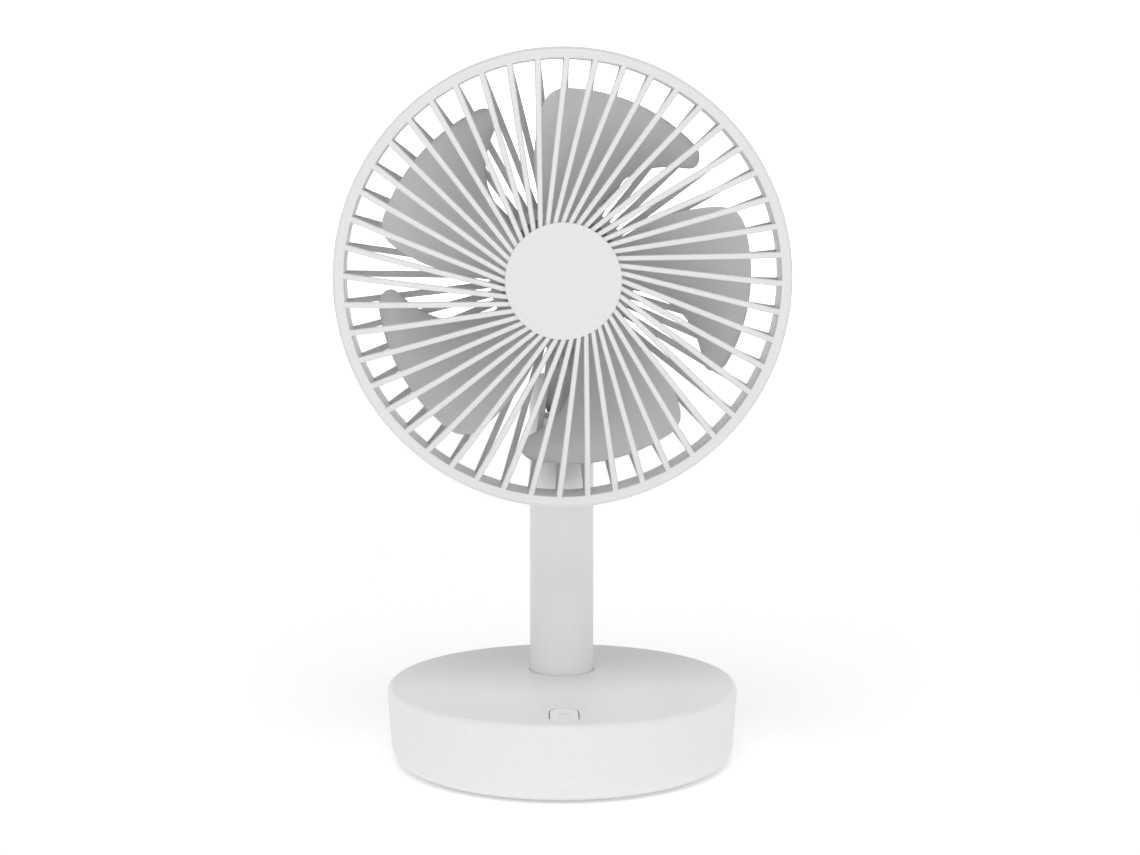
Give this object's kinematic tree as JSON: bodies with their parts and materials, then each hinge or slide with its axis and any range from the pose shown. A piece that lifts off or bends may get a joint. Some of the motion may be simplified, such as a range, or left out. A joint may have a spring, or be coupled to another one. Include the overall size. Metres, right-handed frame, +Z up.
{
  "type": "desk fan",
  "caption": "Small desk fan: grilled round head that tilts on a slim column, which swivels in a round base with a push button.",
  "frame": {"origin": "under the middle of the base, on the surface it stands on", "axes": "+Z up, the fan blows towards -Y, +X to the right as seen from the front"},
  "size_m": [0.2, 0.16, 0.32],
  "materials": {
    "shell_white": "fine-grained satin moulding",
    "grille_white": "fine-grained satin moulding",
    "blade_grey": "smooth satin moulding",
    "pad_rubber": "matt rubber",
    "screw_steel": "zinc plated",
    "weight_steel": "bare pressed plate",
    "inner_plastic": "plain moulding",
    "cell_wrap": "shrink wrap",
    "board_green": "solder mask",
    "switch_black": "moulded",
    "led_white": "moulded",
    "guide_clear": "clear moulding",
    "port_steel": "plated sheet",
    "motor_steel": "drawn sheet",
    "gear_acetal": "natural acetal",
    "lead_black": "cable sheath",
    "hinge_brass": "sheet",
    "tube_metal": "turned",
    "core_steel": "stacked sheets",
    "coil_copper": "enamelled wire",
    "bearing_steel": "ground",
    "magnet_dark": "bonded magnet"
  },
  "bodies": {
    "base": {"base_shell": "shell_white", "base_plate": "shell_white", "foot_pads": "pad_rubber", "base_screws": "screw_steel", "counterweight": "weight_steel", "battery_cradle": "inner_plastic", "battery_cells": "cell_wrap", "cradle_screws": "screw_steel", "control_board": "board_green", "board_screws": "screw_steel", "tact_switch": "switch_black", "status_leds": "led_white", "light_guides": "guide_clear", "usb_board": "board_green", "usb_screws": "screw_steel", "usb_c_socket": "port_steel", "swivel_motor": "motor_steel", "swivel_motor_screws": "screw_steel", "pivot_seat": "inner_plastic", "pivot_screws": "screw_steel", "thrust_washer": "gear_acetal"},
    "button": {"power_button": "shell_white"},
    "pinion": {"drive_pinion": "gear_acetal"},
    "column": {"column_gear": "gear_acetal", "column_retainer": "screw_steel", "column_tube": "shell_white", "column_yoke": "inner_plastic", "column_lead": "lead_black", "tilt_screw": "screw_steel", "tilt_nut": "screw_steel", "friction_washers": "hinge_brass"},
    "head": {"neck_arm": "shell_white", "neck_screws": "screw_steel", "rear_cover": "shell_white", "rear_cover_screws": "screw_steel", "rear_grille": "grille_white", "ring_housing": "shell_white", "front_grille": "grille_white", "bearing_tube": "tube_metal", "bearing_tube_screws": "screw_steel", "stator_core": "core_steel", "stator_coils": "coil_copper", "motor_board": "board_green", "front_bearing": "bearing_steel", "rear_bearing": "bearing_steel"},
    "rotor": {"rotor_can": "motor_steel", "magnet_ring": "magnet_dark", "rotor_shaft": "bearing_steel", "shaft_clip": "screw_steel", "impeller": "blade_grey"}
  },
  "joints": [
    {"name": "swivel", "type": "hinge", "parent": "base", "child": "column", "pos_m": [0, 0.0246, 0.0355], "axis": [0, 0, 1], "range_deg": [-45, 45]},
    {"name": "pinion_spin", "type": "hinge", "parent": "base", "child": "pinion", "pos_m": [0.02612, 0.0246, 0.0225], "axis": [0, 0, 1], "range_deg": [-152, 152]},
    {"name": "tilt", "type": "hinge", "parent": "column", "child": "head", "pos_m": [0, 0.0246, 0.164], "axis": [-1, 0, 0], "range_deg": [-8, 25]},
    {"name": "fan_spin", "type": "hinge", "parent": "head", "child": "rotor", "pos_m": [0, -0.015, 0.22], "axis": [0, 1, 0], "continuous": true},
    {"name": "button_press", "type": "slide", "parent": "base", "child": "button", "axis": [0, 0, -1], "range_m": [0, 0.0005], "stiffness_N_per_m": 800, "springref_m": -0.0006}
  ],
  "couplings": [
    {"joint": "pinion_spin", "follows": "swivel", "ratio": -3.3333}
  ]
}
